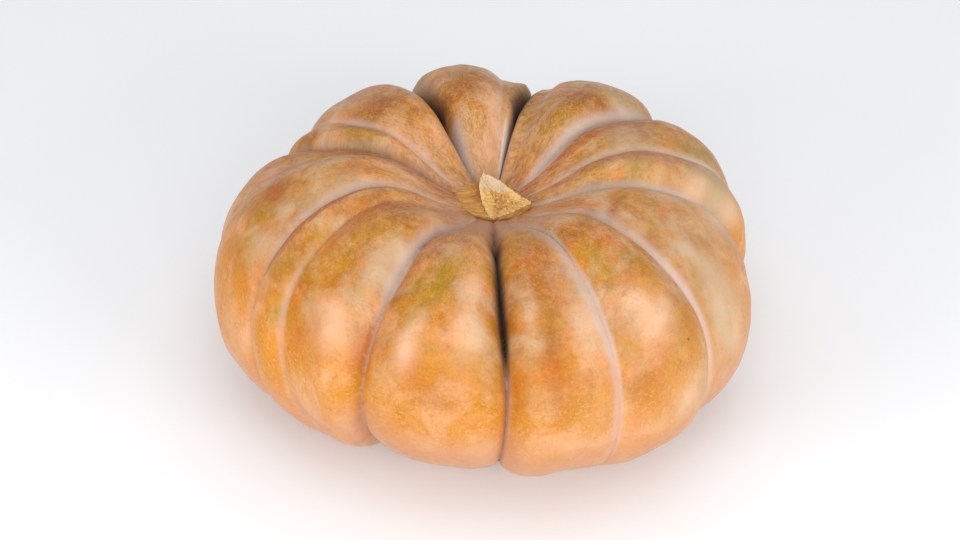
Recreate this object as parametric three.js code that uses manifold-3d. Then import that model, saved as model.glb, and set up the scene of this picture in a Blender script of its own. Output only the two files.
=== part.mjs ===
// A broad, flat, deeply ribbed winter pumpkin with the broken stub of its stem, standing on its underside.
// Millimetres and degrees, +Z up. The origin is on the ground, under the middle of the fruit's outline.
// Azimuths run counter-clockwise seen from above, from +X, and -Y is the front.

import * as THREE from "three";
import { mergeVertices } from "three/addons/utils/BufferGeometryUtils.js";
import Module from "manifold-3d";

const wasm = await Module();
wasm.setup();

// ---- Driving dimensions of the fruit ----
const crownRadius = 170; // stem axis to the outside of an average rib
const halfHeight = 84; // of the rounded body, before its two hollows
const shoulderPower = 0.85; // below 1 the shoulder is fuller than an ellipse
const topPower = 0.9;
const stemHollow = { depth: 39, width: 56, power: 2.6 }; // more than 2 gives it steeper walls
const blossomHollow = { depth: 20, width: 50, power: 2 };
const groundCut = 75.5; // from the middle height down to the ground, which flattens each rib a little
const axisAt = { x: 6.7, y: -3.6 }; // the stem axis, so that the outline's middle is over the origin

// The grooves, counter-clockwise from the front fissure. "at" is the azimuth at the shoulder, "turn" is how
// steeply the groove winds there and "bow" how far it curves away from that. "depth" is in mm, "sharp" is
// how tightly the ribs close on the groove, and "fade" is the share of its depth lost on the underside. The
// others shape the rib that follows it: "reach" as a share of the crown radius, "lift" in mm at the top, and
// "belly" as reach low down.
const grooves = [
  { at: -87, turn: 2, bow: -30, depth: 21, sharp: 4, fade: 0.74, reach: 0.985, lift: -3, belly: -0.004 },
  { at: -63, turn: -10, bow: 0, depth: 6, sharp: 2.3, fade: 0.93, reach: 1.016, lift: 3.5, belly: 0.026 },
  { at: -37, turn: -10, bow: -40, depth: 6, sharp: 2.3, fade: 0.3, reach: 0.929, lift: -1, belly: 0.119 },
  { at: 2, turn: 5, bow: -130, depth: 12, sharp: 2.5, fade: 0.3, reach: 0.955, lift: 1, belly: -0.02 },
  { at: 17, turn: 3, bow: -15, depth: 4, sharp: 2.2, fade: 0.3, reach: 1.01, lift: -4, belly: -0.01 },
  { at: 44, turn: 30, bow: 80, depth: 11, sharp: 2.5, fade: 0.4, reach: 1.011, lift: 2.8, belly: 0 },
  { at: 71.5, turn: 23, bow: 0, depth: 0.8, sharp: 2, fade: 0.5, reach: 0.96, lift: -12.5, belly: 0.045 },
  { at: 77.5, turn: 6, bow: 80, depth: 24, sharp: 4, fade: 0.5, reach: 0.964, lift: -7.5, belly: 0 },
  { at: 87.8, turn: 8, bow: 0, depth: 4, sharp: 2, fade: 0.5, reach: 1.02, lift: 4, belly: 0 },
  { at: 113.5, turn: 0, bow: 45, depth: 24, sharp: 4, fade: 0.5, reach: 1.01, lift: 3, belly: 0 },
  { at: 142.8, turn: -22, bow: 10, depth: 5, sharp: 2, fade: 0.4, reach: 0.96, lift: -2, belly: 0 },
  { at: 151.5, turn: -26, bow: 10, depth: 10, sharp: 2.5, fade: 0.4, reach: 1.025, lift: -11, belly: 0.02 },
  { at: 174.5, turn: 32, bow: -20, depth: 5, sharp: 2.3, fade: 0.4, reach: 1.025, lift: 9, belly: 0.03 },
  { at: 206, turn: 36, bow: 0, depth: 7, sharp: 2.3, fade: 0.2, reach: 1.01, lift: 10, belly: -0.008 },
  { at: 217, turn: 36, bow: 30, depth: 2.5, sharp: 2, fade: 0.6, reach: 0.965, lift: 4, belly: 0.015 },
  { at: 239, turn: 5, bow: -25, depth: 12, sharp: 2.5, fade: 0.2, reach: 0.935, lift: -3, belly: 0 },
];
const turnPivot = 0.35; // share of the way down where a groove stands at its own azimuth
const turnSpan = 0.3; // how far below the pivot the winding goes on, easing to a stop
const grooveStart = 45; // radius round the axis within which the grooves die out
const grooveOnset = 3; // how abruptly they do
const liftStart = 60; // the same radius for the lifts
const fadeFrom = 60; // polar angle where the grooves start to fade and the bellies to swell
const fadeOver = 80; // degrees further to where they are done

// ---- Facets ----
const degreesPerColumn = 4;
const fewestColumns = 5; // in one rib
const fruitRows = 42;
const columnCrowding = 0.5; // 0 spaces a rib's columns evenly, towards 1 they crowd at its grooves

const smoothStep = (x) => THREE.MathUtils.smoothstep(x, 0, 1);
const bell = (x, power) => Math.exp(-(x ** power));
const wrap = (i) => (i + grooves.length) % grooves.length;

function grooveAzimuth(groove, down) {
  const swing = turnSpan * Math.sin(Math.min((down - turnPivot) / turnSpan, Math.PI / 2));
  return groove.at + groove.turn * swing + groove.bow * swing ** 2;
}

// A point of the skin: rib number, share of the way across it from 0 to 1, and share of the way down from
// the stem to the blossom end.
function skinPoint(rib, across, down) {
  const polar = Math.PI * down;
  const [outward, upward] = [Math.sin(polar), Math.cos(polar)];
  const own = grooves[rib];
  const left = across < 0.5;
  const side = left ? own : grooves[wrap(rib + 1)];
  const neighbour = grooves[wrap(left ? rib - 1 : rib + 1)];
  const fromCrown = Math.abs(2 * across - 1);

  const start = grooveAzimuth(own, down);
  const end = grooveAzimuth(grooves[wrap(rib + 1)], down) + (rib + 1 === grooves.length ? 360 : 0);
  const azimuth = THREE.MathUtils.degToRad(start + (end - start) * across);

  const lowDown = smoothStep((THREE.MathUtils.radToDeg(polar) - fadeFrom) / fadeOver);
  const shared = (name) => own[name] + 0.5 * (neighbour[name] - own[name]) * fromCrown ** 2;
  let radius = crownRadius * (shared("reach") + shared("belly") * lowDown) * outward ** shoulderPower;
  let height = halfHeight * Math.sign(upward) * Math.abs(upward) ** topPower;
  if (upward > 0) {
    height -= stemHollow.depth * bell(radius / stemHollow.width, stemHollow.power);
    height += shared("lift") * Math.sqrt(upward) * (1 - bell(radius / liftStart, 2));
  } else {
    height += blossomHollow.depth * bell(radius / blossomHollow.width, blossomHollow.power);
  }

  const onset = 1 - bell(radius / grooveStart, grooveOnset);
  const inset = side.depth * onset * (1 - side.fade * lowDown) * fromCrown ** side.sharp;
  const slope = Math.hypot(outward / crownRadius, upward / halfHeight);
  radius = Math.max(0, radius - (inset * outward) / crownRadius / slope);
  height -= (inset * upward) / halfHeight / slope;

  return new THREE.Vector3(
    axisAt.x + radius * Math.cos(azimuth),
    axisAt.y + radius * Math.sin(azimuth),
    Math.max(0, height + groundCut),
  );
}

// A closed surface: a sphere whose every vertex is placed by place(column, share of the way down).
function placedSphere(columns, rows, place) {
  const geometry = new THREE.SphereGeometry(1, columns, rows);
  const position = geometry.getAttribute("position");
  const uv = geometry.getAttribute("uv");
  for (let i = 0; i < position.count; i++) {
    const row = Math.floor(i / (columns + 1));
    const column = row === 0 || row === rows ? 0 : Math.round(uv.getX(i) * columns) % columns;
    const point = place(column, row / rows);
    position.setXYZ(i, point.x, point.y, point.z);
  }
  geometry.deleteAttribute("normal");
  geometry.deleteAttribute("uv");
  return mergeVertices(geometry, 1e-4);
}

// Which rib each column of facets is in, and how far across it.
function ribColumns() {
  const columns = [];
  grooves.forEach((groove, rib) => {
    const next = grooves[wrap(rib + 1)].at + (rib + 1 === grooves.length ? 360 : 0);
    const count = Math.max(fewestColumns, Math.round((next - groove.at) / degreesPerColumn));
    for (let i = 0; i < count; i++) {
      const share = i / count;
      const across = share - (columnCrowding * Math.sin(2 * Math.PI * share)) / (2 * Math.PI);
      columns.push({ rib, across });
    }
  });
  return columns;
}

function fruitGeometry() {
  const columns = ribColumns();
  return placedSphere(columns.length, fruitRows, (column, down) =>
    skinPoint(columns[column].rib, columns[column].across, down),
  );
}

// ---- Stem stub: broken off low and on a slant, highest at the back left ----
// Heights are above the bottom of the fruit's hollow. Both outlines run counter-clockwise from the right tip.
const brokenRim = [
  [23, -9.5, 9],
  [18.5, -4, 9],
  [10.5, 4.5, 9.5],
  [4.5, 8, 13],
  [-5.5, 9.5, 17],
  [-8.5, 4, 14],
  [-7.5, -4, 10.5],
  [-5, -12, 6.5],
  [0, -18.5, 3.5],
  [6, -17.5, 5.5],
  [15.5, -13.5, 7.5],
];
const flaredFoot = [
  [21, -8],
  [20.5, 2],
  [14, 12.5],
  [2, 17.5],
  [-14, 19.5],
  [-24.5, 13],
  [-24, 2],
  [-19, -7],
  [-10, -15],
  [0, -18.5],
  [14, -15],
];
const footHeight = 2.5; // where the flare ends, just below the skin
const rootDepth = 3; // how far the stub would go on below the bottom of the hollow, before it is trimmed
const pith = new THREE.Vector3(5, -4, 5); // the lowest spot of the torn face
const pithSag = 1.5; // how far the torn face dips between rim and pith
const flareCurve = 2.2; // above 1 the flank drops steeply from the rim and spreads at the foot
const stubColumns = 30;
const faceRows = 3; // from the pith out to the rim
const flankRows = 5; // from the rim down to the foot
const stubRows = faceRows + flankRows + 2; // with the straight root and its flat end
const skinGap = 0.3; // between the stub and the skin

const closedCurve = (points) => new THREE.CatmullRomCurve3(points, true, "centripetal");
const rimCurve = closedCurve(brokenRim.map(([x, y, z]) => new THREE.Vector3(x, y, z)));
const footCurve = closedCurve(flaredFoot.map(([x, y]) => new THREE.Vector3(x, y, footHeight)));

function stubPoint(column, down) {
  const row = Math.round(down * stubRows);
  const rim = rimCurve.getPoint(column / stubColumns);
  const foot = footCurve.getPoint(column / stubColumns);
  if (row <= faceRows) {
    const out = row / faceRows;
    const point = pith.clone().lerp(rim, out);
    point.z -= pithSag * Math.sin(Math.PI * out);
    return point;
  }
  if (row <= faceRows + flankRows) {
    const fall = (row - faceRows) / flankRows;
    const point = rim.clone().lerp(foot, fall ** flareCurve);
    point.z = THREE.MathUtils.lerp(rim.z, foot.z, fall);
    return point;
  }
  const spread = row === stubRows ? 0 : 1;
  return new THREE.Vector3(foot.x * spread, foot.y * spread, -rootDepth);
}

// ---- Solids ----
function toSolid(geometry) {
  const mesh = new wasm.Mesh({
    numProp: 3,
    vertProperties: new Float32Array(geometry.getAttribute("position").array),
    triVerts: new Uint32Array(geometry.index.array),
  });
  return new wasm.Manifold(mesh);
}

function toGeometry(solid) {
  const mesh = solid.getMesh();
  return new THREE.BufferGeometry()
    .setAttribute("position", new THREE.BufferAttribute(mesh.vertProperties, 3))
    .setIndex(new THREE.BufferAttribute(mesh.triVerts, 1));
}

const rindMaterial = new THREE.MeshStandardMaterial({ color: 0xcf8a45, roughness: 0.55, metalness: 0 });
const corkMaterial = new THREE.MeshStandardMaterial({ color: 0xc69a52, roughness: 0.85, metalness: 0 });

const fruit = new THREE.Mesh(fruitGeometry(), rindMaterial);
fruit.name = "fruit";

const hollowBottom = skinPoint(0, 0, 0);
const stubBlank = placedSphere(stubColumns, stubRows, stubPoint).translate(...hollowBottom.toArray());
const trimmedStub = toSolid(stubBlank).subtract(toSolid(fruit.geometry).translate([0, 0, skinGap]));
const stem = new THREE.Mesh(toGeometry(trimmedStub), corkMaterial);
stem.name = "stem";

const pumpkin = new THREE.Group();
pumpkin.add(fruit, stem);

export default pumpkin;
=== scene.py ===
import math
import random

import bmesh
import bpy
import numpy as np
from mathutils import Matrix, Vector, noise


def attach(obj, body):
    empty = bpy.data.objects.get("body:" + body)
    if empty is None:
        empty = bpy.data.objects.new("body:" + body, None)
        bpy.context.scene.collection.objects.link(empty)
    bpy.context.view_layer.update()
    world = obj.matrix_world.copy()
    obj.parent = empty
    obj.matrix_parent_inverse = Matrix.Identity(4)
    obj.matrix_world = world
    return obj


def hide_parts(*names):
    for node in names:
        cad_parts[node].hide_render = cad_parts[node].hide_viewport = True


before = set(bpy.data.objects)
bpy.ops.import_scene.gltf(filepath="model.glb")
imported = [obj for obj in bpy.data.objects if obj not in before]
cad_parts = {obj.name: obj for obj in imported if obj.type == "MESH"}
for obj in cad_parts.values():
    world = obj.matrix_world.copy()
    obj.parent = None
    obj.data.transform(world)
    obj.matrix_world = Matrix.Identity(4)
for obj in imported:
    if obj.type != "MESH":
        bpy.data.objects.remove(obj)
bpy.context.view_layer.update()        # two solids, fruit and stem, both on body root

scene = bpy.context.scene
print("frame loaded:", sorted(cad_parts))


cameraSettings = {
    "elevation": 38.5,       # degrees above the horizon
    "distance": 1.3,         # metres to the point it looks at
    "lens": 77.1,            # mm
    "sensor": 36,            # mm
    "left": 0.008,           # the look-at point, from the stem axis
    "below": 0.006,          # and from the fruit's middle height
}


def addCamera(settings, axisX, axisY, middle):
    camera = bpy.data.objects.new("camera", bpy.data.cameras.new("camera"))
    scene.collection.objects.link(camera)
    lift = math.radians(settings["elevation"])
    back = Vector((0, -math.cos(lift), math.sin(lift)))
    target = Vector((axisX - settings["left"], axisY, middle - settings["below"]))
    camera.location = target + back * settings["distance"]
    camera.rotation_euler = (-back).to_track_quat("-Z", "Y").to_euler()
    camera.data.sensor_width = settings["sensor"]
    camera.data.lens = settings["lens"]
    camera.data.dof.use_dof = False
    scene.camera = camera


# the fruit: azimuths in degrees, counter-clockwise from above, with -90 at the front; lengths in metres
fruitShape = {
    "crownRadius": 0.170, "halfHeight": 0.084, "shoulderPower": 0.85, "topPower": 0.9,
    "stemHollowDepth": 0.039, "stemHollowWidth": 0.056, "stemHollowPower": 2.6,
    "blossomHollowDepth": 0.020, "blossomHollowWidth": 0.050,
    "ground": 0.0755,        # how far below the middle height the fruit stands
    "axisX": 0.0067, "axisY": -0.0036,
    "turnPivot": 0.35, "turnSpan": 0.3,         # the share of the way down that the grooves turn about
    "grooveStart": 0.045, "grooveOnset": 3, "liftStart": 0.060,     # from the axis
    "fadeFrom": 60, "fadeOver": 80,             # degrees from the top over which the sides change downwards
    "degreesPerColumn": 0.92, "fewestColumns": 10, "crowding": 0.55, "rows": 196,
    "streakLength": 0.8, "streakSpread": 0.3,   # how far streaks are drawn out, and spread apart at the poles
    "lump": 0.0009, "lumpSize": 0.045,          # broad unevenness
    "swell": 0.0012, "swellSize": 0.024, "swellStretch": 5,     # faint waves from stem to blossom end
    "furrow": 0.0004, "furrowSize": 0.009, "furrowStretch": 7,  # and finer furrows along them
    "crease": 0.0016, "creaseWidth": 0.0018,    # the fine crease where two ribs meet
    "creaseFull": 0.008,                        # a groove at least this deep has all of it
    "scarRadius": 0.011, "scarHeight": 0.0015,  # the corky blossom scar underneath
    "scarEdge": 1.6, "scarRing": 0.8, "scarRingWidth": 0.25,    # in shares of its radius
    "scarRough": 0.4, "scarGrain": 700,
}

# one row for each groove and the rib after it. at is the groove's azimuth, and turn and bow are how it leans
# and curves on its way down. depth, sharp and fade are how deep it is, how narrow, and how much shallower
# underneath. reach, lift and belly are how far out the rib stands, how high, and how full it is low down.
# bloom is how pale the band beside the groove is on top, and low the same further down. broad is how wide the
# band is, in metres, above zero on the counter-clockwise side and below zero on the other, and slim is the
# share of that width left further down. The last is how brown the other side is: partly its own brown, partly
# painted shade on the side of the groove turned from the light
grooveFields = ("at", "turn", "bow", "depth", "sharp", "fade", "reach", "lift", "belly",
                "bloom", "low", "broad", "slim", "brownAndShade")
grooveTable = [
    (-87, 2, -30, 0.021, 4, 0.74, 0.985, -0.003, -0.004, 0.25, 0.8, 0.003, 1, 0),
    (-63, -10, 0, 0.006, 2.3, 0.93, 1.016, 0.0035, 0.026, 0.65, 0.85, -0.0095, 0.5, 0.2),
    (-37, -10, -40, 0.006, 2.3, 0.3, 0.929, -0.001, 0.119, 0.65, 1, 0.0075, 0.8, 0.4),
    (2, 5, -130, 0.012, 2.5, 0.3, 0.955, 0.001, -0.02, 1, 0.5, -0.0075, 0.5, 0),
    (17, 3, -15, 0.004, 2.2, 0.3, 1.01, -0.004, -0.01, 0.5, 0.8, 0.0055, 0.7, 0.7),
    (44, 30, 80, 0.011, 2.5, 0.4, 1.011, 0.0028, 0, 0.8, 0.7, 0.007, 0.7, 1),
    (71.5, 23, 0, 0.0008, 2, 0.5, 0.96, -0.0125, 0.045, 0.2, 0.5, 0.004, 1, 0.3),
    (77.5, 6, 80, 0.024, 4, 0.5, 0.964, -0.0075, 0, 1, 0.3, 0.007, 1, 0),
    (87.8, 8, 0, 0.004, 2, 0.5, 1.02, 0.004, 0, 0.35, 0.4, 0.0028, 1, 0.2),
    (113.5, 0, 45, 0.024, 4, 0.5, 1.01, 0.003, 0, 1, 0.3, -0.007, 1, 0),
    (142.8, -22, 10, 0.005, 2, 0.4, 0.96, -0.002, 0, 0.5, 0.4, -0.0055, 1, 0.3),
    (151.5, -26, 10, 0.01, 2.5, 0.4, 1.025, -0.011, 0.02, 0.45, 0.5, -0.004, 1, 0.6),
    (174.5, 32, -20, 0.005, 2.3, 0.4, 1.025, 0.009, 0.03, 0.75, 0.5, -0.0045, 0.8, 1),
    (206, 36, 0, 0.007, 2.3, 0.2, 1.01, 0.01, -0.008, 0.65, 0.35, -0.008, 0.6, 1),
    (217, 36, 30, 0.0025, 2, 0.6, 0.965, 0.004, 0.015, 0.15, 0.5, -0.0045, 0.8, 0.5),
    (239, 5, -25, 0.012, 2.5, 0.2, 0.935, -0.003, 0, 0.75, 0.5, -0.0052, 0.25, 0.5),
]
grooves = {name: np.array(column, float) for name, column in zip(grooveFields, zip(*grooveTable))}
ribCount = len(grooveTable)


def smoothStep(x):
    x = np.clip(x, 0, 1)
    return x * x * (3 - 2 * x)


def ribOfColumn(shape):
    # which rib each column is in, and how far across it: columns crowd at the grooves
    ribs, shares = [], []
    for rib in range(ribCount):
        following = grooves["at"][(rib + 1) % ribCount] + (360 if rib + 1 == ribCount else 0)
        width = following - grooves["at"][rib]
        count = max(shape["fewestColumns"], round(width / shape["degreesPerColumn"]))
        share = np.arange(count) / count
        shares += list(share - shape["crowding"] * np.sin(2 * np.pi * share) / (2 * np.pi))
        ribs += [rib] * count
    return np.array(ribs), np.array(shares)


def skinPoints(shape, rib, across, down):
    # places on the skin, how far each is from the nearest groove, and which groove that is
    polar = np.pi * down
    outward, upward = np.abs(np.sin(polar)), np.cos(polar)
    left = across < 0.5
    following = (rib + 1) % ribCount
    side = np.where(left, rib, following)
    neighbour = np.where(left, (rib - 1) % ribCount, following)
    fromCrown = np.abs(2 * across - 1)

    sweep = np.minimum((down - shape["turnPivot"]) / shape["turnSpan"], np.pi / 2)
    sweep = shape["turnSpan"] * np.sin(sweep)
    start = grooves["at"][rib] + grooves["turn"][rib] * sweep + grooves["bow"][rib] * sweep ** 2
    end = grooves["at"][following] + 360 * (following == 0)
    end = end + grooves["turn"][following] * sweep + grooves["bow"][following] * sweep ** 2
    azimuth = np.radians(start + (end - start) * across)

    def shared(name):
        own, other = grooves[name][rib], grooves[name][neighbour]
        return own + 0.5 * (other - own) * fromCrown ** 2

    lowDown = smoothStep((np.degrees(polar) - shape["fadeFrom"]) / shape["fadeOver"])
    radius = shape["crownRadius"] * (shared("reach") + shared("belly") * lowDown)
    radius = radius * outward ** shape["shoulderPower"]
    height = shape["halfHeight"] * np.sign(upward) * np.abs(upward) ** shape["topPower"]
    hollow = (radius / shape["stemHollowWidth"]) ** shape["stemHollowPower"]
    hollow = shape["stemHollowDepth"] * np.exp(-hollow)
    swell = shared("lift") * np.sqrt(np.clip(upward, 0, 1))
    swell = swell * (1 - np.exp(-(radius / shape["liftStart"]) ** 2))
    dimple = shape["blossomHollowDepth"] * np.exp(-(radius / shape["blossomHollowWidth"]) ** 2)
    height = height + np.where(upward > 0, swell - hollow, dimple)

    gap = (1 - fromCrown) * np.radians(end - start) / 2 * radius
    fromLine = np.where(left, gap, -gap)     # above zero on the counter-clockwise side of the groove
    onset = 1 - np.exp(-(radius / shape["grooveStart"]) ** shape["grooveOnset"])
    inset = grooves["depth"][side] * onset * (1 - grooves["fade"][side] * lowDown)
    inset = inset * fromCrown ** grooves["sharp"][side]
    creased = shape["crease"] * np.clip(grooves["depth"][side] / shape["creaseFull"], 0, 1)
    inset = inset + creased * onset * np.exp(-(gap / shape["creaseWidth"]) ** 2)
    slope = np.hypot(outward / shape["crownRadius"], upward / shape["halfHeight"])
    radius = np.maximum(0, radius - inset * outward / shape["crownRadius"] / slope)
    height = height - inset * upward / shape["halfHeight"] / slope

    places = np.stack([
        shape["axisX"] + radius * np.cos(azimuth),
        shape["axisY"] + radius * np.sin(azimuth),
        np.maximum(0, height + shape["ground"]),
    ], -1)
    # the same meridian all the way down, so that streaks follow the ribs
    ribWidth = grooves["at"][following] + 360 * (following == 0) - grooves["at"][rib]
    straight = grooves["at"][rib] + across * ribWidth
    return {"places": places, "radius": radius, "gap": gap, "fromLine": fromLine, "side": side,
            "azimuth": np.degrees(azimuth), "meridian": np.radians(straight), "onset": onset}


def roundGrid(columns, rows):
    # a sphere to shape, and the column and row of each of its vertices
    bm = bmesh.new()
    bmesh.ops.create_uvsphere(bm, u_segments=columns, v_segments=rows, radius=1)
    co = np.array([v.co for v in bm.verts])
    turn = np.arctan2(co[:, 1], co[:, 0]) / (2 * np.pi) % 1
    row = np.rint(np.arccos(np.clip(co[:, 2], -1, 1)) / np.pi * rows).astype(int)
    column = np.rint(turn * columns).astype(int) % columns
    column[(row == 0) | (row == rows)] = 0
    return bm, column, row


def moveVertices(bm, places):
    for vertex, place in zip(bm.verts, places):
        vertex.co = place
    bm.normal_update()


def addPiece(name, bm):
    mesh = bpy.data.meshes.new(name)
    bm.to_mesh(mesh)
    bm.free()
    piece = bpy.data.objects.new(name, mesh)
    scene.collection.objects.link(piece)
    return piece


def addSmoothPiece(name, bm):
    for face in bm.faces:
        face.smooth = True
    return addPiece(name, bm)


def setAttribute(mesh, name, values):
    attribute = mesh.attributes.new(name, "FLOAT", "POINT")
    attribute.data.foreach_set("value", np.asarray(values, np.float32))


def setVectorAttribute(mesh, name, values):
    attribute = mesh.attributes.new(name, "FLOAT_VECTOR", "POINT")
    attribute.data.foreach_set("vector", np.asarray(values, np.float32).ravel())


# bands beside the grooves; the last two lines are for the dark folds, painted shade inside the deepest
# grooves
bandShape = {
    "thinFrom": 0.20, "thinOver": 0.16,     # the shares of the way down over which a band changes
    "edge": 0.0022,                         # how far it reaches over its groove, in metres
    "fullWidth": 0.065, "narrowest": 0.25,  # nearer the axis it narrows, to that share at the least
    "stemFade": 0.020, "stemShare": 0.5,    # and is only that share as pale
    # the brown on the other side is partly its own colour and partly painted shade
    "brownAndShadeWidth": 0.018, "brownAndShadeFrom": 0.22, "brownAndShadeOver": 0.20,     # the brown on its other side
    "foldFadeIn": 0.03, "foldFadeOut": 0.08, "foldTip": 0.4,    # foldTip is how wide it ends, as a share
    "hideBefore": 0.025, "hideOver": 0.045,     # a fold at the back hides its band from just above itself
}

# the deepest grooves are painted nearly black inside, as painted shade: the shares of the way down where
# that starts and ends, how wide it is in metres, and how strong
foldShades = {0: (0.075, 0.38, 0.0032, 1.0), 7: (0.12, 0.40, 0.0050, 0.95), 9: (0.11, 0.40, 0.0045, 0.95)}
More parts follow.
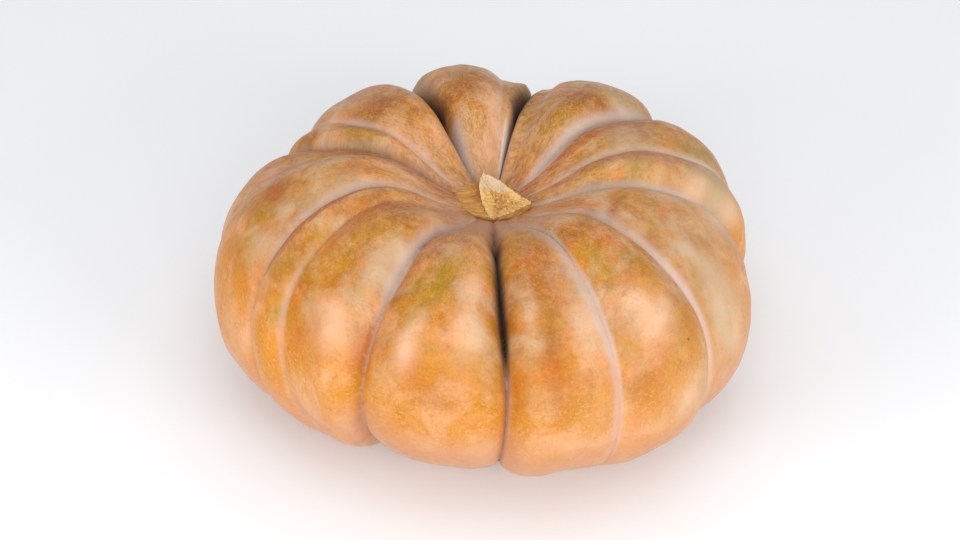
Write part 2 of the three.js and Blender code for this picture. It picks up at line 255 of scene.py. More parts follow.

# soft patches of colour on the skin, some of them painted highlights, light and shade: azimuth, share of the
# way down, their half sizes, strength
skinPatches = {
    "olive": [
        (-107, 0.22, 4.5, 0.037, 0.75), (-114, 0.22, 2.5, 0.021, 0.7), (-107, 0.18, 3, 0.021, 0.5),
        (-128, 0.27, 2.5, 0.023, 0.5), (-137, 0.23, 4, 0.033, 0.35), (-137, 0.17, 5, 0.023, 0.6),
        (-143, 0.38, 1.5, 0.028, 0.9), (-168, 0.29, 2.5, 0.023, 0.7), (-55, 0.19, 2, 0.033, 0.6),
        (-57, 0.23, 1.5, 0.028, 0.6), (-27, 0.21, 5.5, 0.019, 0.5), (3, 0.16, 8, 0.014, 0.8),
        (9, 0.26, 3, 0.012, 0.5), (20, 0.13, 7.5, 0.014, 0.6), (19, 0.10, 4.5, 0.014, 0.4),
        (49, 0.10, 6.5, 0.021, 0.6), (52, 0.07, 7, 0.021, 0.5), (99, 0.08, 9, 0.021, 0.4),
        (153, 0.19, 6, 0.012, 0.6), (154, 0.16, 6, 0.022, 0.8), (-148, 0.23, 3.5, 0.021, 0.5),
        (-160, 0.36, 1.5, 0.021, 0.4), (27, 0.21, 3, 0.009, 0.4), (2, 0.165, 5, 0.025, 0.6),
        # the first patch below darkens the skin beside the dark fold at the back: painted shade
        (53, 0.12, 6, 0.03, 0.5), (-147, 0.30, 3, 0.03, 0.5), (151, 0.32, 4, 0.03, 0.4),
    ],
    "brown": [
        (-112, 0.15, 3.5, 0.023, 0.5), (-147, 0.13, 9, 0.012, 0.7), (-149, 0.19, 5, 0.012, 0.3),
        (-147, 0.31, 2, 0.03, 0.6), (-54, 0.14, 7, 0.012, 0.7), (-59, 0.42, 5, 0.05, 0.5),
        (-77, 0.33, 2, 0.08, 0.65), (-76, 0.42, 4, 0.06, 0.25), (-71, 0.15, 5.5, 0.019, 0.4),
        (105, 0.14, 9.5, 0.019, 0.9), (137, 0.17, 9.5, 0.016, 0.8), (152, 0.28, 2.5, 0.012, 0.8),
        (48, 0.18, 7, 0.014, 0.7), (47, 0.07, 10, 0.021, 0.6), (17, 0.08, 10.5, 0.012, 0.5),
        (27, 0.19, 5.5, 0.009, 0.8), (-28, 0.15, 10, 0.009, 0.8), (-34, 0.12, 6.5, 0.009, 0.6),
        (156, 0.05, 8.5, 0.009, 0.8), (45, 0.03, 17.5, 0.012, 0.6), (-102, 0.43, 5, 0.03, 0.4),
        (-149, 0.27, 2.5, 0.021, 0.4), (-138, 0.11, 7, 0.012, 0.5), (-77, 0.19, 8, 0.035, 0.5),
        # the last patch below, beside the groove at -121, is partly its own brown and partly painted shade
        (94, 0.18, 10, 0.03, 0.7), (-173, 0.26, 6, 0.02, 1), (-122, 0.36, 1.8, 0.06, 0.8),
        (55, 0.16, 9, 0.03, 0.7), (35, 0.13, 11, 0.02, 0.5), (28, 0.17, 8, 0.02, 0.4),
        # the third patch below darkens the skin beside the dark fold at the back: painted shade
        (142, 0.19, 12, 0.03, 0.6), (165, 0.16, 8, 0.02, 0.6), (53, 0.12, 6, 0.03, 0.6),
        (150, 0.31, 5, 0.03, 0.8), (-167, 0.15, 5, 0.015, 0.4), (-136, 0.13, 5, 0.02, 0.5),
    ],
    "blush": [
        # the first patch below, beside the groove at -121, is partly its own red-orange and partly painted
        # shade
        (-122, 0.36, 1.5, 0.05, 0.7), (-141, 0.34, 1.5, 0.03, 0.8), (-137, 0.41, 2.5, 0.042, 0.5),
        (-174, 0.26, 5, 0.012, 0.6), (-79, 0.16, 5, 0.012, 0.6), (-48, 0.17, 4.5, 0.009, 0.8),
        (-18, 0.22, 4.5, 0.009, 0.9), (-77, 0.35, 1.5, 0.028, 0.6), (-86, 0.38, 1.5, 0.028, 0.6),
        (-36, 0.55, 1.5, 0.014, 0.6), (31, 0.32, 2.5, 0.007, 0.5), (23, 0.34, 1.5, 0.009, 0.6),
        (-79, 0.36, 2.5, 0.019, 0.4), (98, 0.17, 4.5, 0.009, 0.5), (-151, 0.17, 6, 0.009, 0.4),
    ],
    "paleAndHighlight": [
        # the pale patches below are mostly painted highlights and painted light on the ribs
        (-128, 0.36, 5, 0.044, 0.8), (-131, 0.32, 4.5, 0.025, 0.6), (-111, 0.34, 3, 0.042, 1),
        (-110, 0.29, 2.5, 0.025, 0.4), (-97, 0.28, 4, 0.073, 0.8), (-96, 0.20, 4, 0.028, 0.6),
        (-67, 0.28, 5, 0.062, 0.8), (-81, 0.27, 2.5, 0.056, 0.5), (-52, 0.31, 6, 0.056, 1),
        (-26, 0.31, 3, 0.04, 0.7), (-27, 0.49, 2.5, 0.04, 0.8), (-29, 0.40, 2.5, 0.034, 0.6),
        (4, 0.38, 3, 0.034, 0.9), (3, 0.28, 7, 0.017, 0.7), (-126, 0.19, 4, 0.034, 0.5),
        (-131, 0.09, 11, 0.019, 0.4), (85, 0.09, 5, 0.044, 0.6), (103, 0.05, 15, 0.031, 0.5),
        (-74, 0.52, 7, 0.019, 0.5), (-59, 0.52, 5.5, 0.019, 0.5), (-50, 0.49, 3, 0.025, 0.6),
        (-92, 0.55, 3, 0.023, 0.5), (-151, 0.49, 2, 0.036, 0.7), (126, 0.09, 6, 0.025, 0.4),
        (153, 0.25, 4.5, 0.011, 0.5), (0, 0.20, 9, 0.011, 0.4), (145, 0.12, 8, 0.023, 0.3),
        (90, 0.12, 4, 0.05, 0.7), (94, 0.06, 8, 0.02, 0.6), (147, 0.08, 10, 0.02, 0.5),
        (179, 0.08, 12, 0.02, 0.5), (30, 0.17, 9, 0.025, 0.4), (-150, 0.42, 3, 0.04, 0.3),
        (2, 0.27, 5, 0.03, 0.6), (-5, 0.32, 6, 0.045, 0.8), (34, 0.15, 5, 0.02, 0.5),
        (-156, 0.47, 4, 0.04, 0.4), (-168, 0.19, 4, 0.02, 0.4),
    ],
    "hazeAndLight": [
        # haze: mostly the skin's own grey waxy haze; the broad patches on the right flank, between azimuths
        # -26 and 8, are painted light from the right
        (-127, 0.22, 4.5, 0.04, 0.8), (-126, 0.28, 2, 0.019, 0.5), (-159, 0.32, 3.5, 0.035, 0.65),
        (-165, 0.25, 3.5, 0.025, 0.6), (-94, 0.28, 2, 0.03, 0.6), (-31, 0.43, 2, 0.042, 0.7),
        (-26, 0.28, 2.5, 0.021, 0.6), (-32, 0.20, 4, 0.012, 0.5), (45, 0.22, 5, 0.012, 0.8),
        (60, 0.13, 3, 0.021, 0.6), (64, 0.19, 4, 0.009, 0.5), (143, 0.26, 5, 0.009, 0.6),
        (-126, 0.18, 3.5, 0.023, 0.4), (-30, 0.49, 2, 0.023, 0.5), (76, 0.09, 3, 0.033, 0.6),
        (-35, 0.14, 6, 0.007, 0.5), (-127, 0.04, 11.5, 0.012, 0.6), (-127, 0.09, 6, 0.009, 0.4),
        (-26, 0.40, 8, 0.13, 0.9), (3, 0.34, 10, 0.08, 0.9), (-12, 0.24, 14, 0.04, 0.35),
        (8, 0.17, 15, 0.05, 0.35), (25, 0.16, 8, 0.03, 0.4), (-163, 0.16, 6, 0.03, 0.6),
        (-45, 0.49, 10, 0.07, 0.6), (-107, 0.15, 7, 0.02, 0.4), (-68, 0.46, 6, 0.05, 0.3),
        (-146, 0.20, 4, 0.03, 0.5),
    ],
    "saddle": [
        (-92, 0.045, 38, 0.030, 1.0), (-150, 0.050, 18, 0.020, 0.5), (-45, 0.060, 12, 0.020, 0.7),
    ],
}

# the far side has patches of the same kinds and sizes; shares say how many of each, against count
farSide = {
    "seed": 11, "count": 34, "shares": {"olive": 1, "brown": 1, "blush": 0.6, "paleAndHighlight": 0.6, "hazeAndLight": 0.4},
    "azimuth": (8, 178), "down": (0.24, 0.55), "wide": (2.5, 6), "tall": (0.02, 0.06), "strength": (0.3, 0.7),
}


def patchMask(patches, azimuth, down):
    mask = np.zeros(len(down))
    for at, level, wide, tall, strength in patches:
        around = (azimuth - at + 180) % 360 - 180
        mask += strength * np.exp(-(around / wide) ** 2 - ((down - level) / tall) ** 2)
    return np.clip(mask, 0, 1)


def addFarPatches(patches, settings):
    draw = random.Random(settings["seed"])
    for name, share in settings["shares"].items():
        for _ in range(round(settings["count"] * share)):
            patches[name].append(tuple(
                draw.uniform(*settings[part]) for part in ("azimuth", "down", "wide", "tall", "strength")))


def streakPlaces(shape, skin, down):
    # places that follow the ribs, spread so that they don't crowd at the poles
    spread = (1 - shape["streakSpread"]) * skin["radius"] + shape["streakSpread"] * shape["crownRadius"]
    length = math.pi * shape["crownRadius"] * shape["streakLength"]
    meridian = skin["meridian"]
    return np.stack([np.cos(meridian) * spread, np.sin(meridian) * spread, down * length], -1)


def addRelief(bm, shape, streak, onset):
    # lumps, and waves and furrows that follow the ribs; onset is 0 at the poles
    for vertex, (x, y, z), share in zip(bm.verts, streak, onset):
        lump = noise.fractal(vertex.co / shape["lumpSize"], 1.0, 2.0, 3)
        wave = noise.noise(Vector((x, y, z / shape["swellStretch"])) / shape["swellSize"])
        furrow = noise.noise(Vector((x, y, z / shape["furrowStretch"])) / shape["furrowSize"])
        push = shape["lump"] * lump + shape["swell"] * wave + shape["furrow"] * furrow
        vertex.co += vertex.normal * share * push


def addScar(bm, shape, radius, down):
    # the blossom scar underneath: a rough disc with a raised ring
    fromMiddle = radius / shape["scarRadius"]
    inScar = (down > 0.5) * smoothStep(shape["scarEdge"] - fromMiddle)
    ring = inScar * np.exp(-((fromMiddle - shape["scarRing"]) / shape["scarRingWidth"]) ** 2)
    for vertex, scar, high in zip(bm.verts, inScar, ring):
        rough = 0.5 + 0.8 * noise.noise(vertex.co * shape["scarGrain"]) if scar > 0 else 0
        height = shape["scarHeight"] * (shape["scarRough"] * scar * rough + high)
        vertex.co.z = max(0.0, vertex.co.z - height)
    return inScar


def addBands(mesh, shape, skin, down):
    # how pale the band is (bloom), how brown its far side, partly its own brown and partly painted shade, and
    # how dark the inside of a groove, which is painted shade
    side, radius = skin["side"], skin["radius"]
    broad, top, low = grooves["broad"][side], grooves["bloom"][side], grooves["low"][side]
    lowDown = smoothStep((down - shape["thinFrom"]) / shape["thinOver"])
    fromLine = skin["fromLine"] * np.sign(broad)
    width = np.abs(broad) * (1 + (grooves["slim"][side] - 1) * lowDown)
    width = width * np.clip(radius / shape["fullWidth"], shape["narrowest"], 1)
    width = np.where(fromLine > 0, width, shape["edge"])
    bloom = (top + (low - top) * lowDown) * np.exp(-(fromLine / width) ** 2)
    away = smoothStep((radius - shape["stemFade"]) / shape["stemFade"])
    bloom = bloom * (shape["stemShare"] + (1 - shape["stemShare"]) * away)
    # the brown on the far side is partly its own colour, partly painted shade
    brownAndShade = grooves["brownAndShade"][side] * np.exp(-(fromLine / shape["brownAndShadeWidth"]) ** 2) * (fromLine < 0)
    brownAndShade = brownAndShade * (1 - smoothStep((down - shape["brownAndShadeFrom"]) / shape["brownAndShadeOver"]))

    # the dark inside of the deepest grooves is painted shade
    foldShade = np.zeros(len(down))
    for groove, (start, end, width, strength) in foldShades.items():
        along = smoothStep((down - start) / shape["foldFadeIn"])
        along = along * smoothStep((end - down) / shape["foldFadeOut"])
        narrowing = smoothStep((end - down) / (end - start))
        width = width * (shape["foldTip"] + (1 - shape["foldTip"]) * narrowing)
        across = np.exp(-(skin["gap"] / width) ** 2)
        foldShade = np.maximum(foldShade, strength * along * across * (side == groove))
        hidden = smoothStep((down - start + shape["hideBefore"]) / shape["hideOver"]) if groove else along
        bloom = bloom * (1 - (side == groove) * hidden)
    setAttribute(mesh, "bloom", bloom)
    setAttribute(mesh, "brownAndShade", brownAndShade)
    setAttribute(mesh, "foldShade", foldShade)


def makeFruit(shape):
    ribs, shares = ribOfColumn(shape)
    bm, column, row = roundGrid(len(ribs), shape["rows"])
    down = row / shape["rows"]
    skin = skinPoints(shape, ribs[column], shares[column], down)
    moveVertices(bm, skin["places"])
    streak = streakPlaces(shape, skin, down)
    addRelief(bm, shape, streak, skin["onset"])
    scar = addScar(bm, shape, skin["radius"], down)

    fruit = addSmoothPiece("pumpkinFruit", bm)
    mesh = fruit.data
    addBands(mesh, bandShape, skin, down)
    setAttribute(mesh, "grooveGap", skin["gap"])
    setAttribute(mesh, "down", down)
    setAttribute(mesh, "fromAxis", skin["radius"])
    setAttribute(mesh, "scar", scar)
    setVectorAttribute(mesh, "streak", streak)
    for name, patches in skinPatches.items():
        setAttribute(mesh, name, patchMask(patches, skin["azimuth"], down))
    print("fruit:", len(mesh.vertices), "vertices,", len(mesh.polygons), "faces")
    return fruit


# the stem stub: outlines from the right tip, counter-clockwise, in metres from the bottom of the hollow
stubShape = {
    "rim": [(0.023, -0.0095, 0.009), (0.0185, -0.004, 0.009), (0.0105, 0.0045, 0.0095),
            (0.0045, 0.008, 0.013), (-0.0055, 0.0095, 0.017), (-0.0085, 0.004, 0.014),
            (-0.0075, -0.004, 0.0105), (-0.005, -0.012, 0.0065), (0.0, -0.0185, 0.0035),
            (0.006, -0.0175, 0.0055), (0.0155, -0.0135, 0.0075)],
    "foot": [(0.021, -0.008), (0.0205, 0.002), (0.014, 0.0125), (0.002, 0.0175), (-0.014, 0.0195),
             (-0.0245, 0.013), (-0.024, 0.002), (-0.019, -0.007), (-0.010, -0.015),
             (0.0, -0.0185), (0.014, -0.015)],
    "footHeight": 0.0025, "rootDepth": 0.003,
    "pith": (0.005, -0.004, 0.005), "pithSag": 0.0015, "flareCurve": 2.2,
    "columns": 220, "faceRows": 34, "flankRows": 44, "rootRows": 4,
    "torn": 0.0011, "tornSize": 0.0022,         # the ragged rim
    "tornRound": 0.018, "tornRise": 0.012,      # its radius, and the height at which it is more ragged
    "fibre": 0.00045, "fibreSize": 0.0011,      # strings that run down the flank and stand up in the break
    "fibreRound": 0.02, "fibreDown": 0.004,     # the flank's radius and length, as the strings see them
    "ridge": 0.0007, "ridges": 7,               # angles of the stalk
    "ringAt": 0.5, "ringWidth": 0.13,           # a raised ring in the break, in shares of the way out
    "flankLength": 0.014, "faceLength": 0.010,  # how long the pattern takes the flank and the break to be
    "creamSide": (112, 42), "skinSide": (165, 45),      # azimuth and half width of each
}


def sideMask(azimuth, side):
    around = (azimuth - side[0] + 180) % 360 - 180
    return np.exp(-(around / side[1]) ** 2)


def closedCurve(points, share):
    # a smooth closed curve through the points; share runs from 0 to 1 once round
    points = np.array(points, float)
    count = len(points)
    at = (share % 1) * count
    i = np.floor(at).astype(int) % count
    t = (at - np.floor(at))[:, None]
    a, b, c, d = (points[(i + k) % count] for k in (-1, 0, 1, 2))
    bend = (2 * a - 5 * b + 4 * c - d) * t ** 2 + (3 * b - a - 3 * c + d) * t ** 3
    return 0.5 * (2 * b + (c - a) * t + bend)


def tornRim(shape, share):
    # short splinters of uneven height, more so where the rim stands high
    rim = closedCurve(shape["rim"], share)
    scale = shape["tornRound"] / shape["tornSize"]
    ragged = []
    for turn in share * 2 * np.pi:
        coarse = Vector((math.cos(turn), math.sin(turn), 0.3)) * scale
        fine = Vector((math.cos(turn), math.sin(turn), 4.1)) * scale * 2.7
        ragged.append(noise.noise(coarse) + 0.6 * noise.noise(fine))
    rim[:, 2] += shape["torn"] * np.array(ragged) * (0.5 + rim[:, 2] / shape["tornRise"])
    return rim


def facePush(shape, place, out):
    # strings stand up in the break, and a ring rises between its pith and its rim
    strings = noise.noise(Vector((place[0], place[1], 0)) / shape["fibreSize"])
    ring = math.exp(-((out - shape["ringAt"]) / shape["ringWidth"]) ** 2)
    return shape["fibre"] * (1.3 * strings + 0.9 * ring) * (1 - out ** 12)


def flankPush(shape, around, turn, fall):
    # strings run down the flank, which has the angles of the stalk
    strings = noise.noise(Vector((around[0], around[1], fall * shape["fibreDown"])) / shape["fibreSize"])
    ridges = math.cos(shape["ridges"] * turn) * fall * (1 - fall) * 3
    return shape["fibre"] * strings * min(1, fall * 6 + 0.2) + shape["ridge"] * ridges


def makeStub(shape, hollowBottom):
    columns, faceRows, flankRows = shape["columns"], shape["faceRows"], shape["flankRows"]
    rows = faceRows + flankRows + shape["rootRows"]
    bm, column, row = roundGrid(columns, rows)
    share = column / columns
    rim = tornRim(shape, share)
    foot = closedCurve([(x, y, shape["footHeight"]) for x, y in shape["foot"]], share)
    pith = np.array(shape["pith"])

    # out runs from pith to rim, fall from rim to foot, and sink from foot to the bottom of the root
    out = np.clip(row / faceRows, 0, 1)
    fall = np.clip((row - faceRows) / flankRows, 0, 1)
    sink = np.clip((row - faceRows - flankRows) / shape["rootRows"], 0, 1)
    isFace = row <= faceRows
    onFace = pith + (rim - pith) * out[:, None]
    onFace[:, 2] -= shape["pithSag"] * np.sin(np.pi * out)
    onFlank = rim + (foot - rim) * fall[:, None] ** shape["flareCurve"]
    onFlank[:, 2] = rim[:, 2] + (foot[:, 2] - rim[:, 2]) * fall
    onFlank[:, 2] -= (shape["footHeight"] + shape["rootDepth"]) * sink
    onFlank[row == rows, :2] = 0
    places = np.where(isFace[:, None], onFace, onFlank)
    moveVertices(bm, places)

    turn = share * 2 * np.pi
    around = np.stack([np.cos(turn), np.sin(turn)], -1) * shape["fibreRound"]
    for i, vertex in enumerate(bm.verts):
        if isFace[i]:
            vertex.co += vertex.normal * facePush(shape, places[i], out[i])
        elif row[i] < faceRows + flankRows:
            vertex.co += vertex.normal * flankPush(shape, around[i], turn[i], fall[i])
    bmesh.ops.translate(bm, verts=bm.verts, vec=hollowBottom)

    stub = addSmoothPiece("stemStub", bm)
    mesh = stub.data
    rimTurn = np.degrees(np.arctan2(rim[:, 1] - pith[1], rim[:, 0] - pith[0]))
    setAttribute(mesh, "tornFace", isFace)
    setAttribute(mesh, "fromPith", out)
    setAttribute(mesh, "fall", fall)
    cream = isFace * smoothStep((out - 0.3) / 0.4) * sideMask(rimTurn, shape["creamSide"])
    setAttribute(mesh, "cream", cream)
    setAttribute(mesh, "skin", (1 - fall) * sideMask(rimTurn, shape["skinSide"]))
    length = fall * shape["flankLength"] + out * shape["faceLength"]
    setVectorAttribute(mesh, "fibre", np.column_stack([around, length]))
    print("stem stub:", len(mesh.vertices), "vertices,", len(mesh.polygons), "faces")
    return stub


def toLinear(color):
    # a colour given on a 0 to 255 scale, as the shaders need it
    parts = [c / 255 for c in color]
    return tuple(c / 12.92 if c <= 0.04045 else ((c + 0.055) / 1.055) ** 2.4 for c in parts) + (1,)


def addNode(tree, kind, inputs=None, **settings):
    node = tree.nodes.new(kind)
    for name, value in settings.items():
        setattr(node, name, value)
    for name, value in (inputs or {}).items():
        feed(tree, node.inputs[name], value)
    return node


def feed(tree, socket, value):
    if isinstance(value, bpy.types.NodeSocket):
        tree.links.new(value, socket)
    else:
        socket.default_value = value


def readAttribute(tree, name):
    return addNode(tree, "ShaderNodeAttribute", attribute_name=name).outputs["Fac"]


def calc(tree, operation, a, b=0.0, c=0.0, clamp=False):
    node = addNode(tree, "ShaderNodeMath", {0: a, 1: b, 2: c}, operation=operation, use_clamp=clamp)
    return node.outputs[0]


def remap(tree, value, low, high, toLow=0.0, toHigh=1.0):
    node = addNode(tree, "ShaderNodeMapRange", {
        "Value": value, "From Min": low, "From Max": high, "To Min": toLow, "To Max": toHigh,
    }, interpolation_type="SMOOTHSTEP")
    return node.outputs["Result"]


def mixColors(tree, mask, a, b):
    node = tree.nodes.new("ShaderNodeMix")
    node.data_type = "RGBA"
    feed(tree, node.inputs[0], mask)
    feed(tree, node.inputs[6], a)
    feed(tree, node.inputs[7], b)
    return node.outputs[2]


def noiseOf(tree, vector, size, detail, roughness):
    node = addNode(tree, "ShaderNodeTexNoise", {
        "Vector": vector, "Scale": 1 / size, "Detail": detail, "Roughness": roughness})
    return node.outputs["Fac"]


def startGroup(name, inputs, output):
    # an empty group with a Vector and some numbers going in and one number coming out
    group = bpy.data.node_groups.new(name, "ShaderNodeTree")
    group.interface.new_socket(name="Vector", in_out="INPUT", socket_type="NodeSocketVector")
    for label, value in inputs.items():
        socket = group.interface.new_socket(name=label, in_out="INPUT", socket_type="NodeSocketFloat")
        socket.default_value = value
    group.interface.new_socket(name=output, in_out="OUTPUT", socket_type="NodeSocketFloat")
    return group, group.nodes.new("NodeGroupInput"), group.nodes.new("NodeGroupOutput")


def makeBlotches():
    # soft uneven blotches: how much of the surface they cover, and how crisp they are
    group, start, end = startGroup("blotches", {"Scale": 50.0, "Cover": 0.5, "Softness": 0.15}, "Mask")
    texture = addNode(group, "ShaderNodeTexNoise", {
        "Vector": start.outputs["Vector"], "Scale": start.outputs["Scale"],
        "Detail": 3.0, "Roughness": 0.55, "Distortion": 0.5})
    level = calc(group, "MULTIPLY_ADD", start.outputs["Cover"], -0.4, 0.7)
    low = calc(group, "SUBTRACT", level, start.outputs["Softness"])
    high = calc(group, "ADD", level, start.outputs["Softness"])
    feed(group, end.inputs["Mask"], remap(group, texture.outputs["Fac"], low, high))
    return group


def makeGrain():
    # height of fine pores and fibres, for bump
    group, start, end = startGroup("grain", {"Scale": 600.0}, "Height")
    coarse = addNode(group, "ShaderNodeTexNoise", {
        "Vector": start.outputs["Vector"], "Scale": start.outputs["Scale"], "Detail": 4.0, "Roughness": 0.6})
    cells = addNode(group, "ShaderNodeTexVoronoi", {
        "Vector": start.outputs["Vector"], "Scale": start.outputs["Scale"]})
    pits = remap(group, cells.outputs["Distance"], 0.0, 0.35)
    feed(group, end.inputs["Height"], calc(group, "MULTIPLY_ADD", pits, 0.35, coarse.outputs["Fac"]))
    return group


def useGroup(tree, group, inputs):
    node = tree.nodes.new("ShaderNodeGroup")
    node.node_tree = group
    for name, value in inputs.items():
        feed(tree, node.inputs[name], value)
    return node.outputs[0]


def startMaterial(name):
    material = bpy.data.materials.new(name)
    material.use_nodes = True
    tree = material.node_tree
    tree.nodes.clear()
    shader = tree.nodes.new("ShaderNodeBsdfPrincipled")
    output = tree.nodes.new("ShaderNodeOutputMaterial")
    tree.links.new(shader.outputs["BSDF"], output.inputs["Surface"])
    place = tree.nodes.new("ShaderNodeTexCoord").outputs["Object"]
    return material, tree, shader, place


# the rind: colours on a 0 to 255 scale, lengths in metres, and down the share of the way from stem to
# blossom end
rindLook = {
    "colors": {
        # some of these are painted light and shade: the peach pale colour is mostly painted highlight, the
        # pink near the ground is painted bounce light from the floor, the brown beside the grooves is partly
        # painted shade, and the near black in the deepest folds is painted shade
        "orange": (204, 120, 14), "ochre": (178, 116, 10), "golden": (198, 128, 36), "tan": (184, 132, 88),
        "olive": (158, 118, 6), "brown": (154, 84, 12), "blush": (198, 90, 10), "paleAndHighlight": (236, 192, 160),
        "hazeAndLight": (194, 172, 142), "line": (208, 172, 154), "chalk": (206, 195, 188), "seam": (176, 120, 88),
        "fleck": (238, 174, 80), "speck": (82, 56, 30), "scar": (166, 126, 80), "ground": (194, 142, 114),
        "brownAndShade": (160, 78, 24), "creaseShade": (34, 14, 5), "grain": (146, 88, 18), "light": (232, 168, 70),
        "saddle": (184, 142, 124),
    },
    # clouds of colour all over: size and length, cover, softness, strength, and down, where they have
    # all of it and where they have thinned out
    "clouds": [
        ("ochre", 0.042, 0.060, 0.55, 0.16, 0.85, 0.36, 0.52),
        ("brown", 0.020, 0.034, 0.42, 0.14, 0.65, 0.30, 0.46),
        ("olive", 0.024, 0.036, 0.38, 0.16, 0.60, 0.30, 0.44),
        ("paleAndHighlight", 0.026, 0.040, 0.32, 0.16, 0.35, 0.60, 0.75),
        ("blush", 0.018, 0.030, 0.20, 0.14, 0.30, 0.60, 0.75),
        ("hazeAndLight", 0.022, 0.034, 0.32, 0.15, 0.55, 0.26, 0.40),
        ("paleAndHighlight", 0.034, 0.034, 0.45, 0.14, 0.90, 0.72, 0.58),       # the last three are for the underside
        ("brown", 0.018, 0.022, 0.36, 0.10, 0.70, 0.72, 0.56),
        ("ochre", 0.012, 0.016, 0.42, 0.10, 0.60, 0.72, 0.56),
    ],
    # how strong each kind of patch is, and how broken its edges are
    "patches": {
        "brown": (1.2, 0.4), "olive": (0.95, 0.6), "blush": (0.7, 0.5), "paleAndHighlight": (0.58, 0.15),
        "hazeAndLight": (0.75, 0.2),
    },
    # the fine patterns: size across the ribs and length along them
    "sizes": {
        "edges": (0.010, 0.016), "smudge": (0.008, 0.014), "streaks": (0.0025, 0.014),
        "dust": (0.0014, 0.0020), "mottle": (0.005, 0.008), "flecks": (0.0020, 0.0026),
    },
    # down, where each comes in, from nothing to all of it
    "zones": {
        "golden": (0.28, 0.50), "top": (0.5, 0.3), "flecks": (0.34, 0.46), "ground": (0.46, 0.60),
        "chalk": (0.44, 0.22), "seam": (0.10, 0.20), "grain": (0.38, 0.16), "band": (0.62, 0.45),
    },
    "nearStem": (0.066, 0.026), "shoulders": (0.110, 0.050),        # from the axis
    "strengths": {
        "golden": 0.85, "brownAndShade": 0.85, "smudge": 0.8, "stain": 0.45, "streaks": 0.20, "flecks": 0.32,
        "ground": 0.60, "band": 0.85, "seam": 0.2, "saddle": 0.75, "specks": 0.7, "scar": 0.9,
    },
    "grainTop": 0.50, "grainLow": 0.30,         # how strong the grain is, on top and low down
    "backFrom": (-0.03, 0.10), "grainAtBack": 1.5,
    "bandEdges": (0.34, 1.30), "bandLow": 0.35,         # bandLow is the share of a band left underneath
    "seamWidth": (0.0012, 0.0003),
    "speckScale": 42.0, "speckShare": 0.07, "speckEdges": (0.055, 0.03),
    "poreScale": 420.0,
    "roughness": 0.40, "specular": 0.26, "sheen": 0.06, "sheenRoughness": 0.5,
    "bump": 0.3, "bumpDepth": 0.0005,
}


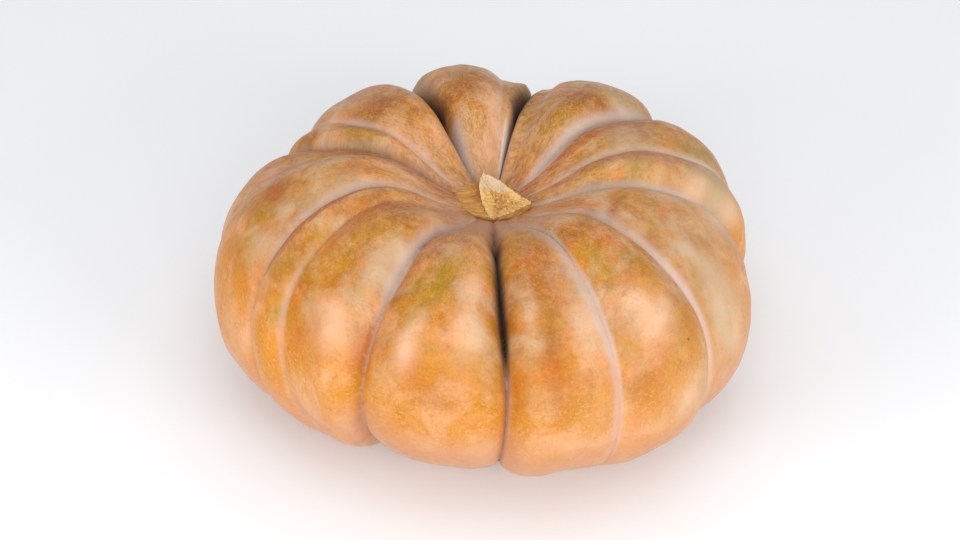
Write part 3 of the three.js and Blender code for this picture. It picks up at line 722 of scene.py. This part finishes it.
def makeRind(look, blotches, grain):
    material, tree, shader, place = startMaterial("rind")
    colors = {name: toLinear(value) for name, value in look["colors"].items()}
    sizes, zones, strengths = look["sizes"], look["zones"], look["strengths"]
    down = readAttribute(tree, "down")
    fromAxis = readAttribute(tree, "fromAxis")
    streak = addNode(tree, "ShaderNodeAttribute", attribute_name="streak").outputs["Vector"]

    def along(size, length, shift=0.0):
        # the skin's own directions, in pieces of that size, drawn out from stem to blossom end
        return addNode(tree, "ShaderNodeMapping", {
            "Vector": streak, "Location": (shift, shift, shift), "Scale": (1, 1, size / length)}).outputs[0]

    def noiseAlong(name, detail, roughness, shift=0.0):
        size, length = sizes[name]
        return noiseOf(tree, along(size, length, shift), size, detail, roughness)

    def blotchesAlong(size, length, cover, softness, shift=0.0):
        return useGroup(tree, blotches, {
            "Vector": along(size, length, shift), "Scale": 1 / size, "Cover": cover, "Softness": softness})

    def times(*factors):
        product = factors[0]
        for factor in factors[1:]:
            product = calc(tree, "MULTIPLY", product, factor)
        return product

    def paint(color, mask, name):
        return mixColors(tree, mask, color, colors[name])

    # ground colour: orange, golden low down, with soft clouds over it
    color = paint(colors["orange"], remap(tree, down, *zones["golden"], 0, strengths["golden"]), "golden")
    for i, (name, size, length, cover, softness, strength, full, gone) in enumerate(look["clouds"]):
        cloud = blotchesAlong(size, length, cover, softness, 3.7 * i)
        color = paint(color, times(cloud, remap(tree, down, gone, full, 0.0, strength)), name)

    # patches, their edges broken up a little; the pale ones are mostly painted highlights and painted light,
    # and a few others are painted light and shade
    broken = noiseAlong("edges", 3, 0.55)
    for name, (strength, breaking) in look["patches"].items():
        uneven = calc(tree, "MULTIPLY_ADD", calc(tree, "SUBTRACT", broken, 0.5), 4 * breaking, 1.0)
        mask = calc(tree, "MULTIPLY", readAttribute(tree, name), uneven)
        color = paint(color, calc(tree, "MULTIPLY", mask, strength, clamp=True), name)
    # the brown beside each groove: partly its own colour, partly painted shade on the side turned from the
    # light
    brownAndShade = calc(tree, "MULTIPLY_ADD", broken, 0.5, readAttribute(tree, "brownAndShade"))
    color = paint(color, remap(tree, brownAndShade, 0.35, 1.15, 0.0, strengths["brownAndShade"]), "brownAndShade")
    nearStem = times(remap(tree, fromAxis, *look["nearStem"]), remap(tree, down, *zones["top"]))
    smudge = blotchesAlong(*sizes["smudge"], 0.5, 0.15, 5.0)
    color = paint(color, times(nearStem, smudge, strengths["smudge"]), "tan")
    color = paint(color, times(nearStem, remap(tree, smudge, 0.5, 0.0), strengths["stain"]), "brown")

    # fine streaks from stem to blossom end, only round the stem
    streaks = blotchesAlong(*sizes["streaks"], 0.5, 0.12)
    shoulders = times(remap(tree, fromAxis, *look["shoulders"]), remap(tree, down, *zones["top"]))
    color = paint(color, times(streaks, shoulders, strengths["streaks"]), "paleAndHighlight")

    # fine grain all over, stronger on top and at the back and weaker in the pale and hazy patches, which are
    # partly painted highlights and light
    dust = noiseAlong("dust", 3, 0.6)
    mottle = noiseAlong("mottle", 4, 0.6)
    calm = calc(tree, "ADD", readAttribute(tree, "paleAndHighlight"), readAttribute(tree, "hazeAndLight"), clamp=True)
    backward = addNode(tree, "ShaderNodeSeparateXYZ", {"Vector": place}).outputs["Y"]
    amount = times(
        remap(tree, down, *zones["grain"], look["grainLow"], look["grainTop"]),
        calc(tree, "MULTIPLY_ADD", calm, -0.7, 1.0),
        remap(tree, backward, *look["backFrom"], 1.0, look["grainAtBack"]))
    for texture in (mottle, dust):
        color = paint(color, remap(tree, texture, 0.50, 0.74, 0, amount), "grain")
        color = paint(color, times(remap(tree, texture, 0.52, 0.24), amount, 0.6), "light")

    # golden flecks low down, and the paler, pinker colour near the ground, which is painted bounce light from
    # the floor
    flecks = times(
        remap(tree, noiseAlong("flecks", 2, 0.5, 9.0), 0.50, 0.64),
        remap(tree, mottle, 0.38, 0.58),
        remap(tree, down, *zones["flecks"]))
    color = paint(color, times(flecks, strengths["flecks"]), "fleck")
    color = paint(color, remap(tree, down, *zones["ground"], 0, strengths["ground"]), "ground")

    # the pale waxy band along each groove, chalky near the stem, with a thin seam in it
    band = calc(tree, "MULTIPLY_ADD", broken, 0.35, readAttribute(tree, "bloom"))
    band = calc(tree, "MULTIPLY_ADD", dust, 0.2, band)
    band = remap(tree, band, *look["bandEdges"], 0.0, strengths["band"])
    band = times(band, remap(tree, down, *zones["band"], look["bandLow"], 1.0))
    wax = paint(colors["line"], remap(tree, down, *zones["chalk"]), "chalk")
    color = mixColors(tree, band, color, wax)
    seam = remap(tree, readAttribute(tree, "grooveGap"), *look["seamWidth"], 0, strengths["seam"])
    color = paint(color, times(seam, remap(tree, down, *zones["seam"])), "seam")
    color = paint(color, times(readAttribute(tree, "saddle"), strengths["saddle"]), "saddle")
    # the nearly black inside of the deepest grooves: painted shade
    color = paint(color, readAttribute(tree, "foldShade"), "creaseShade")

    # small dark specks, few and scattered, and the blossom scar
    cells = addNode(tree, "ShaderNodeTexVoronoi", {"Vector": place, "Scale": look["speckScale"]})
    draw = addNode(tree, "ShaderNodeSeparateColor", {"Color": cells.outputs["Color"]}).outputs[0]
    chosen = calc(tree, "GREATER_THAN", draw, 1 - look["speckShare"])
    dot = times(remap(tree, cells.outputs["Distance"], *look["speckEdges"]), chosen)
    color = paint(color, times(dot, strengths["specks"]), "speck")
    scar = readAttribute(tree, "scar")
    color = paint(color, times(scar, strengths["scar"]), "scar")
    feed(tree, shader.inputs["Base Color"], color)

    # waxy skin is duller than bare skin, and the folds and the scar are dry
    waxy = calc(tree, "MAXIMUM", band, readAttribute(tree, "hazeAndLight"))
    rough = calc(tree, "MULTIPLY_ADD", waxy, 0.16, look["roughness"])
    rough = calc(tree, "MULTIPLY_ADD", calc(tree, "SUBTRACT", mottle, 0.5), 0.3, rough)
    rough = calc(tree, "MULTIPLY_ADD", readAttribute(tree, "foldShade"), 0.4, rough)
    feed(tree, shader.inputs["Roughness"], calc(tree, "MULTIPLY_ADD", scar, 0.3, rough))
    shader.inputs["Specular IOR Level"].default_value = look["specular"]
    shader.inputs["Sheen Weight"].default_value = look["sheen"]
    shader.inputs["Sheen Roughness"].default_value = look["sheenRoughness"]

    pores = useGroup(tree, grain, {"Vector": place, "Scale": look["poreScale"]})
    height = calc(tree, "MULTIPLY_ADD", times(streaks, shoulders), 0.8, pores)
    height = calc(tree, "MULTIPLY_ADD", flecks, 0.4, height)
    bump = addNode(tree, "ShaderNodeBump", {
        "Strength": look["bump"], "Distance": look["bumpDepth"], "Height": height})
    feed(tree, shader.inputs["Normal"], bump.outputs["Normal"])
    return material


# the stem's cork
corkLook = {
    "colors": {
        # the dark foot colour is painted shade where the stalk meets the fruit
        "face": (240, 174, 88), "pit": (186, 116, 58), "golden": (252, 212, 132), "torn": (250, 216, 156),
        "cream": (234, 206, 170), "flank": (238, 182, 102), "string": (188, 124, 56), "foot": (120, 76, 40),
        "skin": (186, 108, 42),
    },
    "strings": 900.0, "stringStretch": 0.15, "patches": 320.0, "crumbs": 800.0,     # pieces to the metre
    "poreScale": 900.0,
    "wobble": 0.003,                            # size in metres of the wobble in each colour's edge
    "pitDepth": 0.85, "rimStrength": 0.8, "creamStrength": 0.9, "stringStrength": 0.7,
    "skinStrength": 0.85, "footShadeStrength": 0.7, "edgeStrength": 0.8,
    "roughness": 0.85, "bump": 0.7, "bumpDepth": 0.0006,
}


def makeCork(look, blotches, grain):
    material, tree, shader, place = startMaterial("stemCork")
    colors = {name: toLinear(value) for name, value in look["colors"].items()}
    out = readAttribute(tree, "fromPith")
    fall = readAttribute(tree, "fall")
    fibre = addNode(tree, "ShaderNodeAttribute", attribute_name="fibre").outputs["Vector"]
    stretched = addNode(tree, "ShaderNodeMapping", {
        "Vector": fibre, "Scale": (1, 1, look["stringStretch"])}).outputs[0]

    def spots(vector, scale, cover, softness):
        return useGroup(tree, blotches, {
            "Vector": vector, "Scale": scale, "Cover": cover, "Softness": softness})

    def paint(color, mask, name):
        return mixColors(tree, mask, color, colors[name])

    strings = spots(stretched, look["strings"], 0.5, 0.15)
    patchy = spots(place, look["patches"], 0.5, 0.2)
    crumbs = spots(place, look["crumbs"], 0.4, 0.1)
    wobble = calc(tree, "SUBTRACT", noiseOf(tree, place, look["wobble"], 3, 0.6), 0.5)
    wavyOut = calc(tree, "ADD", out, wobble)

    # the broken face: ochre with brown pits in the middle, a paler rim, cream where it tore last
    face = paint(colors["face"], patchy, "golden")
    pits = remap(tree, wavyOut, 0.75, 0.35, 0.1, look["pitDepth"])
    face = paint(face, calc(tree, "MULTIPLY", crumbs, pits), "pit")
    face = paint(face, remap(tree, wavyOut, 0.72, 0.98, 0.0, look["rimStrength"]), "torn")
    cream = calc(tree, "MULTIPLY_ADD", wobble, 0.8, readAttribute(tree, "cream"))
    face = paint(face, remap(tree, cream, 0.30, 0.60, 0.0, look["creamStrength"]), "cream")

    # the flank: golden cork with brown strings, a skin of rind colour on one side, and dark at the foot,
    # which is painted shade where it meets the fruit
    flank = paint(colors["flank"], calc(tree, "MULTIPLY", strings, look["stringStrength"]), "string")
    skin = calc(tree, "MULTIPLY_ADD", wobble, 0.6, readAttribute(tree, "skin"))
    flank = paint(flank, remap(tree, skin, 0.2, 0.8, 0.0, look["skinStrength"]), "skin")
    flank = paint(flank, remap(tree, fall, 0.88, 1.0, 0.0, look["footShadeStrength"]), "foot")
    flank = paint(flank, remap(tree, fall, 0.12, 0.0, 0.0, look["edgeStrength"]), "torn")
    feed(tree, shader.inputs["Base Color"], mixColors(tree, readAttribute(tree, "tornFace"), flank, face))
    feed(tree, shader.inputs["Roughness"], calc(tree, "MULTIPLY_ADD", patchy, 0.08, look["roughness"]))

    pores = useGroup(tree, grain, {"Vector": place, "Scale": look["poreScale"]})
    height = calc(tree, "MULTIPLY_ADD", strings, 1.2, pores)
    height = calc(tree, "MULTIPLY_ADD", crumbs, -0.8, height)
    bump = addNode(tree, "ShaderNodeBump", {
        "Strength": look["bump"], "Distance": look["bumpDepth"], "Height": height})
    feed(tree, shader.inputs["Normal"], bump.outputs["Normal"])
    return material


# the floor, the sky and the lights
studio = {
    "floorSize": 12.0, "floorColor": (244, 246, 248), "floorRoughness": 0.9,
    "floorShade": 0.97, "floorShadeSize": 0.5,      # how much darker its faint clouds are, and their size
    "sky": (250, 250, 252), "skyStrength": 0.62,
    "aim": (0, 0, 0.06),                            # where the lights point
    "lights": [                                     # name, place, size, power
        ("left", (-1.55, -1.25, 0.65), 0.9, 15.0),
        ("right", (1.45, -1.45, 0.70), 0.9, 17.5),
        ("front", (0.1, -2.0, 1.1), 1.2, 14.5),
        ("top", (0.1, -0.2, 2.2), 1.8, 10.0),
    ],
}


def makeFloor(settings):
    bm = bmesh.new()
    bmesh.ops.create_grid(bm, x_segments=1, y_segments=1, size=settings["floorSize"] / 2)
    floor = addPiece("floor", bm)
    material, tree, shader, place = startMaterial("floorPaper")
    shade = noiseOf(tree, place, settings["floorShadeSize"], 2, 0.5)
    white = toLinear(settings["floorColor"])
    grey = tuple(c * settings["floorShade"] for c in white[:3]) + (1,)
    feed(tree, shader.inputs["Base Color"], mixColors(tree, shade, white, grey))
    shader.inputs["Roughness"].default_value = settings["floorRoughness"]
    floor.data.materials.append(material)


def makeLight(settings):
    world = bpy.data.worlds.new("softSky")
    scene.world = world
    world.use_nodes = True
    background = world.node_tree.nodes["Background"]
    background.inputs["Color"].default_value = toLinear(settings["sky"])
    background.inputs["Strength"].default_value = settings["skyStrength"]
    for name, place, size, power in settings["lights"]:
        light = bpy.data.lights.new(name, "AREA")
        light.size = size
        light.energy = power
        lamp = bpy.data.objects.new(name, light)
        lamp.location = place
        towards = Vector(settings["aim"]) - Vector(place)
        lamp.rotation_euler = towards.to_track_quat("-Z", "Y").to_euler()
        scene.collection.objects.link(lamp)
    scene.view_settings.view_transform = "Standard"


addCamera(cameraSettings, fruitShape["axisX"], fruitShape["axisY"], fruitShape["ground"])
print("camera placed")

addFarPatches(skinPatches, farSide)
fruit = makeFruit(fruitShape)
hollowBottom = skinPoints(fruitShape, np.array([0]), np.array([0.0]), np.array([0.0]))["places"][0]
stub = makeStub(stubShape, Vector(hollowBottom))

blotches, grain = makeBlotches(), makeGrain()
fruit.data.materials.append(makeRind(rindLook, blotches, grain))
stub.data.materials.append(makeCork(corkLook, blotches, grain))
print("materials made")

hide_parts("fruit")
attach(fruit, "root")
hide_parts("stem")
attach(stub, "root")

makeFloor(studio)
makeLight(studio)
print("studio made")
